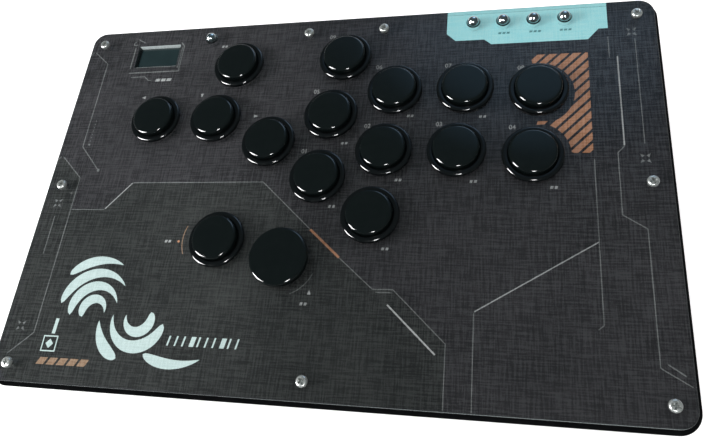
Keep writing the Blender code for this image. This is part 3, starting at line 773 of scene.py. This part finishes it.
def flange_profile(radius, height, round_radius):
    """A push-button housing: the rounded flange, and the barrel that the plunger slides in."""
    lip = 0.0003
    heel = 0.0002
    profile = fillet((BORE_RADIUS + lip, height - lip), lip, 180, 90, 3)
    profile += fillet((radius - round_radius, height - round_radius), round_radius, 90, 0, 10)
    profile += fillet((radius - heel, HAIR + heel), heel, 0, -90, 3)
    return profile + [
        (BARREL_RADIUS, HAIR),
        (BARREL_RADIUS, -BARREL_DEPTH),
        (LOWER_BORE_RADIUS, -BARREL_DEPTH),
        (LOWER_BORE_RADIUS, -SHOULDER_DEPTH),
        (BORE_RADIUS, -SHOULDER_DEPTH),
    ]


def stem_profile():
    """The lower part of a plunger: the rim that holds it in its housing, and the stem."""
    gap = 0.0003
    rim_top = -SHOULDER_DEPTH - gap
    return [
        (CAP_RADIUS, rim_top),
        (RIM_RADIUS, rim_top),
        (RIM_RADIUS, rim_top - RIM_THICKNESS),
        (STEM_RADIUS, rim_top - RIM_THICKNESS),
        (STEM_RADIUS, gap - STEM_DEPTH),
        (STEM_RADIUS - gap, -STEM_DEPTH),
        (0, -STEM_DEPTH),
    ]


def crown_profile(radius, height, round_radius):
    """A barely domed top that runs over into a round edge."""
    flat = radius - round_radius
    shares = [i / 8 for i in range(8)]
    crown = [(flat * s, height - CAP_CROWN * s * s) for s in shares]
    return crown + fillet((flat, height - CAP_CROWN - round_radius), round_radius, 90, 0, 12)


def make_buttons():
    """Housings and plungers; the wide cap hides its own lower flange."""
    flange = turned_mesh(flange_profile(FLANGE_RADIUS, FLANGE_HEIGHT, FLANGE_ROUND))
    low_flange = turned_mesh(flange_profile(LOW_FLANGE_RADIUS, LOW_FLANGE_HEIGHT, LOW_FLANGE_ROUND))
    cap = turned_mesh(crown_profile(CAP_RADIUS, CAP_HEIGHT, CAP_ROUND) + stem_profile())
    skirt = [
        (WIDE_RADIUS, WIDE_EDGE),
        (WIDE_RADIUS - WIDE_SKIRT, WIDE_EDGE),
        (WIDE_RADIUS - WIDE_SKIRT, WIDE_CEILING),
        (CAP_RADIUS, WIDE_CEILING),
    ]
    wide_cap = turned_mesh(crown_profile(WIDE_RADIUS, WIDE_HEIGHT, CAP_ROUND) + skirt + stem_profile())
    for name in BUTTONS:
        ring_mesh, cap_mesh = (low_flange, wide_cap) if name == "thumb_jump" else (flange, cap)
        place = on_top("plunger_" + name)
        ring = piece("flange_" + name, ring_mesh, HOUSING_PLASTIC, "housing_plastic", place=place)
        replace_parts(ring, "housing_" + name)
        top = piece("cap_" + name, cap_mesh, CAP_PLASTIC, "cap_plastic", "button_" + name, place)
        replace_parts(top, "plunger_" + name)


def make_keys():
    """Metal domes, each with the hidden flange that holds it under the panel."""
    low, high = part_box("key_1")
    foot = low.z - TOP
    ledge = foot + KEY_FLANGE_THICKNESS
    crown = high.z - TOP - DOME_WALL
    turns = [math.radians(angle) for angle in range(0, 91, 6)]
    profile = [(DOME_RADIUS * math.sin(t), DOME_WALL + crown * math.cos(t)) for t in turns]
    profile += [(DOME_RADIUS, ledge), (KEY_FLANGE_RADIUS, ledge), (KEY_FLANGE_RADIUS, foot), (0, foot)]
    mesh = turned_mesh(profile, SMALL_TURN_STEPS)
    for name in KEYS:
        dome = piece("dome_" + name[4:], mesh, CHROME, "key_chrome", name + "_cap", on_top(name))
        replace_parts(dome, name)


def make_display():
    """The display behind its window, and the switch under the lock key."""
    low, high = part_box("display_module")
    glass_top = ART_HIGH.z + GLASS_RISE
    lock = middle("key_lock")
    centre = middle("display_module")
    blank = plate_mesh([rounded((high - low).xy, 0.0008, centre, 4)], low.z, SMALL_BOARD_TOP)
    # The whole top face of this board is black
    mask = circuit_board("display_mask", SMALL_BOARD_TOP - BOARD_MARGIN)
    board = piece("display_board", blank, mask, "display_glass")
    block = [rounded((TACT_SIDE, TACT_SIDE), 0.0005, lock, 4)]
    tact = prisms_mesh(block, SMALL_BOARD_TOP, SMALL_BOARD_TOP + TACT_HEIGHT)
    piece("lock_switch", tact, TONGUE, "display_glass")
    pane = rounded(WINDOW_SIZE - Vector((0.0006, 0.0006)), 0.0006, WINDOW_CENTRE, 6)
    pane_mesh = plate_mesh([pane], SMALL_BOARD_TOP, glass_top, 0.0002)
    glass = piece("display_glass", pane_mesh, GLASS, "display_glass")
    area = rounded(WINDOW_SIZE - Vector((0.0016, 0.0014)), 0.0002, WINDOW_CENTRE, 3)
    piece("display_screen", prisms_mesh([area], glass_top, glass_top + HAIR), SCREEN, "display_glass")
    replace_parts(board, "display_module")
    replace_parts(glass, "display_module")


def make_feet():
    """Round rubber feet with a raised ring that they stand on."""
    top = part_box(FEET[0])[1].z
    edge = 0.0007
    groove = 0.0006
    groove_radius = FOOT_RADIUS - 0.0020
    profile = [(0, top), (FOOT_RADIUS, top)]
    profile += fillet((FOOT_RADIUS - edge, edge), edge, 0, -90, 6)
    profile += fillet((groove_radius, 0.0), groove, 0, 180, 8)
    profile += [(groove_radius - 2 * groove, 0.0), (0, 0.0)]
    mesh = turned_mesh(profile, SMALL_TURN_STEPS)
    for name in FEET:
        pad = piece("pad_" + name[5:], mesh, RUBBER, "foot_rubber", place=(*middle(name), 0))
        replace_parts(pad, name)


def facing_rear(mesh, y, z):
    """Turns a shape that was drawn in X and Y, and thickened along Z, to face the rear."""
    mesh.transform(Matrix.Translation((0, y, z)) @ Matrix.Rotation(math.radians(-90), 4, "X"))
    return mesh


def make_socket():
    """The USB socket: a tube with a tongue, and contacts on both faces of the tongue."""
    low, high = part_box("usb_socket")
    width, length, height = high - low
    z = (high.z + low.z) / 2
    solid = plate_mesh([stadium(width, height)], 0, length, 0.0001)
    bore = stadium(width - 2 * SOCKET_SKIN, height - 2 * SOCKET_SKIN)
    inside = prisms_mesh([bore], 2 * SOCKET_SKIN, length + 0.001)
    tube = facing_rear(combined(solid, [("DIFFERENCE", inside)]), low.y, z)
    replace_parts(piece("usb_shell", tube, NICKEL, "socket_steel"), "usb_socket")
    tongue_end = length - 0.0007
    tongue = prisms_mesh([rounded((0.0067, 0.0007), 0.0002, steps=3)], 0.0006, tongue_end)
    piece("usb_tongue", facing_rear(tongue, low.y, z), TONGUE, "socket_steel")
    pitch = 0.0005
    face = 0.00037
    places = [((i - 5.5) * pitch, side * face) for i in range(12) for side in (1, -1)]
    pads = [rounded((pitch / 2, 0.00004), 0.00001, place, 1) for place in places]
    contacts = prisms_mesh(pads, 0.002, tongue_end - 0.0004)
    piece("usb_contacts", facing_rear(contacts, low.y, z), GOLD, "socket_steel")


# ---------------------------------------------------------------- print


def plate_point(point):
    """From millimetres on the plate's top face to the print that shows there, seen through the cover."""
    place = Vector((point[0] / 1000 - PLATE_SIZE.x / 2, point[1] / 1000 - PLATE_SIZE.y / 2))
    depth = TOP - ART_HIGH.z
    return place + (place - CAMERA_PLACE.xy) * depth / (CAMERA_PLACE.z - TOP)


def ink(name, outlines, material, layer=1):
    """A printed colour: every outline is filled, a hair above the sheet."""
    shapes = [[plate_point(point) for point in outline] for outline in outlines]
    mesh = prisms_mesh(shapes, ART_HIGH.z - INK, ART_HIGH.z + layer * INK)
    piece(name, mesh, material, "art_print")


def arrow(centre, angle, size):
    """A small arrow head that points along an angle."""
    turns = [math.radians(angle + step) for step in (0, 140, 220)]
    return [(centre[0] + size * math.cos(t), centre[1] + size * math.sin(t)) for t in turns]


def slanted(x, y, width, height, lean):
    """A bar whose top is shifted sideways."""
    return [(x, y), (x + width, y), (x + width + lean, y + height), (x + lean, y + height)]


def hoop(centre, radius, start, end, width=THIN_LINE):
    """A thin printed line along an arc."""
    outer = arc(centre, radius + width / 2, start, end, 16)
    return outer + arc(centre, radius - width / 2, end, start, 16)


def make_field():
    """The slightly greener field at the front left, with the holes that go through it."""
    outline = [(9, 0.6), (208, 0.6), (208, 26), (185, 47.5), (176, 47.5), (145, 74), (118, 98)]
    outline += [(48.5, 98), (36.5, 83.5), (17, 83.5), (17, 101), (3, 113.2), (3, 8)]
    shapes = [[plate_point(point) for point in outline]]
    shapes += [circle(middle("plunger_" + name), HOLE_RADIUS) for name in ("thumb_jump", "thumb_side")]
    for name in ("front_left", "front_middle", "side_left"):
        shapes.append(circle(middle("screw_" + name), SCREW_HOLE_RADIUS, SMALL_HOLE_STEPS))
    mesh = plate_mesh(shapes, ART_HIGH.z - INK, ART_HIGH.z + INK)
    piece("print_field", mesh, ART_FIELD, "art_print")


def make_cyan_panel():
    """The cyan panel round the row of keys, with marks below three of them."""
    outline = [(202.5, 189.6), (202.5, 178.5), (207, 174), (221, 174), (224.5, 171)]
    outline += [(269.5, 171), (274.5, 176.8), (278.7, 176.8), (278.7, 189.6)]
    shapes = [[plate_point(point) for point in outline]]
    shapes += [circle(middle(name), KEY_HOLE_RADIUS, 32) for name in KEYS[:4]]
    mesh = plate_mesh(shapes, ART_HIGH.z - INK, ART_HIGH.z + 2 * INK)
    piece("print_cyan_panel", mesh, CYAN, "art_print")
    bars = []
    for x in (230.5, 245.3, 259.5):
        bars += [slanted(x + shift, 176.7, 1.4, 1.1, 0.3) for shift in (-2.8, -0.8, 1.2)]
    ink("print_key_marks", bars, TEAL, 3)


def hazard_region():
    """The striped corner, hollowed round the two right-hand buttons."""
    upper = arc((245.9, 142.2), 16.6, 97, -72, 24)
    lower = arc((243.5, 110.3), 16.5, 66, 4, 12)
    corner = [(269, 112.5), (269, 163.5), (245, 163.5), (243.2, 161.5)]
    return corner + upper + lower + [(261, 111), (267.5, 111)]


def make_hazard():
    """The striped corner: slanted bars that are cut to the shape of the region."""
    pitch = 5.43
    gap = 1.7
    start = -109
    left = 238
    right = 272
    bars = []
    for i in range(-5, 10):
        low = start - pitch * i
        near = low + gap / 2
        far = low + pitch - gap / 2
        bar = ((left, left + near), (right, right + near), (right, right + far), (left, left + far))
        bars.append([plate_point(point) for point in bar])
    thick = 0.001
    region = prisms_mesh([[plate_point(point) for point in hazard_region()]], -thick, thick)
    mesh = combined(region, [("INTERSECT", prisms_mesh(bars, -2 * thick, 2 * thick))])
    squeeze = Matrix.Diagonal((1, 1, 1.5 * INK / thick, 1))
    mesh.transform(Matrix.Translation((0, 0, ART_HIGH.z + INK / 2)) @ squeeze)
    piece("print_hazard_corner", mesh, ORANGE, "art_print")


def make_warm_marks():
    """The orange bar, tab and dot, and the bronze hoop and bars."""
    marks = [stroke([(144.8, 74.2), (159.7, 61.2)], 1.1)]
    marks += [[(245.2, 125.6), (248.6, 125.6), (250.2, 127.3), (245.8, 127.3)]]
    marks += [circle((80.5, 67.5), 0.6, 16)]
    ink("print_orange_marks", marks, ORANGE, 2)
    bronze = [hoop((99.9, 68.7), 17.5, 158, 205)]
    bronze += [slanted(22.6 + 5.3 * i, 8.2, 4.0, 3.1, 1.7) for i in range(5)]
    ink("print_bronze_marks", bronze, BRONZE, 2)


def make_lines():
    """The thin lines of the print with their small ornaments, as (points, width)."""
    thin = THIN_LINE
    paths = [
        ([(48.5, 98), (118, 98), (144.8, 74.2)], thin),
        ([(159.7, 61.2), (176, 47.5), (185, 47.5), (208, 26), (208, 0.5)], thin),
        ([(177.5, 46.2), (184.4, 46.2)], thin),
        ([(17.5, 83.5), (36, 83.5)], thin),
        ([(3.2, 113.4), (17, 101), (17, 22), (6, 12)], thin),
        ([(3.2, 179.2), (13, 171), (13, 119), (25.5, 106)], thin),
        ([(9, 80), (9, 60)], thin),
        ([(269.2, 108), (269.2, 36), (267, 34.2)], thin),
        ([(281.9, 114), (279, 110.8), (279, 82), (288.3, 76), (288.3, 21), (298.8, 14.8)], 0.45),
        ([(290.2, 170), (290.2, 115)], thin),
        ([(278.4, 172), (278.4, 160)], thin),
        ([(219, 0.5), (219, 39)], thin),
        ([(28, 167), (28, 181)], 0.55),
        ([(28, 164.2), (58, 164.2), (58, 180.5), (55.8, 183)], 0.55),
        ([(28.6, 186.6), (33.4, 184)], 0.5),
        ([(30, 161.4), (38.5, 161.4), (41.2, 159), (43, 159)], 0.45),
        ([(291, 22.5), (297, 18.5)], 0.5),
    ]
    outlines = [stroke(path, width) for path, width in paths]
    outlines += [hoop((27.6, 183.8), 1.25, 100, 330, 0.5), hoop((132.8, 60.1), 17.0, -68, -22)]
    outlines += [circle((26.3, 105.2), 0.8, 16), circle((16.5, 120.2), 0.6, 16)]
    outlines += [stroke([(16.5, 122 + 2 * i), (16.5, 122.8 + 2 * i)], 0.5) for i in range(7)]
    for x, y in ((290, 108), (289, 174), (8.5, 87), (9, 25)):
        for angle in (45, 135, 225, 315):
            t = math.radians(angle)
            outlines.append(arrow((x + 2.1 * math.cos(t), y + 2.1 * math.sin(t)), angle, 1.15))
    ink("print_lines", outlines, GREY, 2)
    bright = [
        stroke([(36.5, 83.9), (48.1, 97.8)], 0.5),
        stroke([(281.9, 160.6), (281.9, 114.3)], 0.65),
        stroke([(219.3, 39.5), (269, 70)], 0.5),
    ]
    ink("print_bright_lines", bright, SILVER, 2)
    ink("print_white_line", [stroke([(183, 41), (204, 21.5)], 0.7)], WHITE, 2)


def make_emblem():
    """An abstract mark of brush strokes in the corner, with a row of plain slanted bars beside it."""
    strokes = [
        brush((45, 33), 24.4, 136, 66, 4.8),
        brush((45, 33), 18.2, 170, 42, 5.2),
        brush((45, 33), 12.0, 190, 20, 5.0),
        brush((45, 33), 5.8, 208, -5, 4.6),
        brush((69, 31), 19.6, 250, 186, 5.2),
        brush((69, 31), 13.0, 350, 176, 5.8),
        brush((69, 31), 6.4, 385, 170, 5.0),
        brush((90, 43), 31.5, 242, 294, 4.6),
    ]
    strokes += [slanted(85.5 + 3.6 * i, 19.4, 2.2 if i % 4 == 3 else 0.8, 4.3, 0.9) for i in range(10)]
    strokes += [stroke([(27.4, 22), (27.7, 29)], 1.7)]
    strokes += [[(26.8, 15.4), (28.8, 17.5), (26.8, 19.6), (24.8, 17.5)]]
    ink("print_emblem", strokes, PALE, 2)
    line = 0.55
    box = []
    for inset in (0, line):
        x0, y0, x1, y1 = 23 + inset, 13.9 + inset, 30.6 - inset, 21.1 - inset
        box.append([plate_point(point) for point in ((x0, y0), (x1, y0), (x1, y1), (x0, y1))])
    piece("print_box", plate_mesh(box, ART_HIGH.z - INK, ART_HIGH.z + 2 * INK), PALE, "art_print")


def digit_mesh(text, centre, size):
    """A numeral as a thick flat mesh on the plate."""
    curve = bpy.data.curves.new("digit", "FONT")
    curve.body = text
    curve.size = size / 1000
    curve.offset = 0.00003
    curve.resolution_u = 5
    curve.align_x = "CENTER"
    curve.align_y = "CENTER"
    curve.extrude = 1.5 * INK
    mesh = curve_mesh(curve)
    mesh.transform(Matrix.Translation((*plate_point(centre), ART_HIGH.z + INK / 2)))
    return mesh


def make_labels():
    """Numerals, arrow heads and small bars where the real print has captions."""
    numerals = {
        "1": (136.5, 114), "2": (166.5, 127), "3": (201, 127), "4": (234.5, 124.5),
        "5": (138.5, 147.5), "6": (169.5, 160.5), "7": (204, 159.5), "8": (238.5, 156.5),
        "9": (143, 180.5),
    }
    bm = bmesh.new()
    for text, centre in numerals.items():
        digit = digit_mesh("0" + text, centre, 3.3)
        bm.from_mesh(digit)
        bpy.data.meshes.remove(digit)
    piece("print_numerals", closed_mesh(bm), SILVER, "art_print")
    arrows = (((108, 134.5), 0), ((75.5, 148), 270), ((41.5, 148), 180), ((148, 45.2), 90))
    marks = [arrow(centre, angle, 1.3) for centre, angle in arrows]
    places = [(187, 132), (156, 118), (183.5, 98.5), (153.5, 85.5), (221, 130.5), (217.5, 97.5)]
    places += [(252, 94.5), (180, 65.5), (82.5, 178.5), (146, 40), (75, 67.5)]
    for x, y in places:
        marks += [slanted(x + shift, y - 0.6, 1.2, 1.3, 0.3) for shift in (-1.7, 0.2)]
    marks += [slanted(x, 158, 2.6, 1.7, 0.3) for x in (45.6, 48.9, 52.2)]
    ink("print_label_marks", marks, SILVER, 2)


# ---------------------------------------------------------------- the nodes that stay


def finish_nodes():
    """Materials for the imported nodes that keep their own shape."""
    finishes = {
        "mounting_panel": (PANEL_STEEL, "panel_steel"),
        "main_board": (circuit_board("main_mask", MAIN_BOARD_TOP + BOARD_MARGIN), "circuit_board"),
        "key_board": (circuit_board("key_mask", SMALL_BOARD_TOP + BOARD_MARGIN), "circuit_board"),
        "display_cable": (RIBBON, "ribbon_cable"),
        "key_cable": (RIBBON, "ribbon_cable"),
    }
    for name, (material, slot) in finishes.items():
        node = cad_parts[name]
        node.data.materials.clear()
        node.data.materials.append(material)


# ---------------------------------------------------------------- stage, light and camera


def make_floor():
    material, g = new_material("pale_floor")
    speck = g.noise(0.002, detail=2.0)
    shader = g.add("BsdfPrincipled", {
        "Base Color": g.mix(speck, (0.86, 0.86, 0.86, 1), (0.90, 0.90, 0.90, 1)),
        "Roughness": 0.9,
        "Specular IOR Level": 0.1,
        "Emission Color": (1, 1, 1, 1),
        "Emission Strength": 0.45,
    })
    g.finish(shader)
    floor = new_object("floor", prisms_mesh([rounded((6, 6), 0.2)], -0.02, 0.0))
    floor.data.materials.append(material)


def softbox(name, azimuth, elevation, distance, size, power):
    light = bpy.data.lights.new(name, "AREA")
    light.shape = "RECTANGLE"
    light.size, light.size_y = size
    light.energy = power
    box = new_object(name, light)
    toward = direction(azimuth, elevation)
    box.location = toward * distance
    box.rotation_euler = toward.to_track_quat("Z", "Y").to_euler()
    return box


def highlight(name, azimuth, elevation, size, power):
    """A far light that only draws highlights on the polished pieces, where they are seen directly."""
    box = softbox(name, azimuth, elevation, 3.0, size, power)
    box.visible_diffuse = False
    box.light_linking.receiver_collection = POLISHED
    box.data.use_nodes = True
    g = Graph(box.data.node_tree)
    direct = g.math("LESS_THAN", g.add("LightPath", output="Glossy Depth"), 1.5)
    g.finish(g.add("Emission", {"Strength": direct}), "OutputLight")


def make_world():
    """Even light for matt surfaces; a dim room with pale blue patches at the rear for polished ones."""
    world = bpy.data.worlds.new("room")
    world.use_nodes = True
    bpy.context.scene.world = world
    g = Graph(world.node_tree)
    ray = g.add("NewGeometry", output="Incoming")
    room = (0.08, 0.105, 0.11, 1)
    # Each patch: its direction, its outer and inner radius in degrees, and its colour
    patches = [
        (direction(80, 31), 38, 18, (0.12, 0.18, 0.26, 1)),
        (direction(80, 31), 18, 8, (1.5, 2.1, 2.8, 1)),
        (direction(86, 48), 17, 4, (0.22, 0.36, 0.50, 1)),
    ]
    for toward, outer, inner, colour in patches:
        near = g.add("VectorMath", {0: ray, 1: -toward}, output="Value", operation="DOT_PRODUCT")
        share = g.step(near, math.cos(math.radians(outer)), math.cos(math.radians(inner)))
        room = g.mix(share, room, colour)
    glossy = g.add("LightPath", output="Is Glossy Ray")
    colour = g.mix(glossy, (1.0, 1.0, 1.0, 1), room)
    g.finish(g.add("Background", {"Color": colour, "Strength": 1.0}), "OutputWorld")


def make_lights():
    """A window at the left with a bright pane, and a small lamp above the player."""
    window = softbox("window", 195, 32, 1.1, (0.45, 0.35), 9.0)
    window.visible_glossy = False
    highlight("window_pane", 200, 30, (0.95, 1.90), 270.0)
    highlight("lamp", 279, 56, (0.42, 0.66), 66.0)


def make_camera():
    data = bpy.data.cameras.new("camera")
    data.lens = 30.68
    data.shift_x = -0.0474
    data.shift_y = -0.0294
    data.clip_start = 0.01
    camera = new_object("camera", data)
    camera.location = CAMERA_PLACE
    camera.rotation_euler = Euler([math.radians(angle) for angle in (23.24, 10.92, 4.63)])
    bpy.context.scene.camera = camera


make_case()
make_layers()
make_screws()
make_buttons()
make_keys()
make_display()
make_feet()
make_socket()
make_field()
make_cyan_panel()
make_hazard()
make_warm_marks()
make_lines()
make_emblem()
make_labels()
finish_nodes()
make_floor()
make_world()
make_lights()
make_camera()
bpy.context.scene.view_settings.view_transform = "Standard"
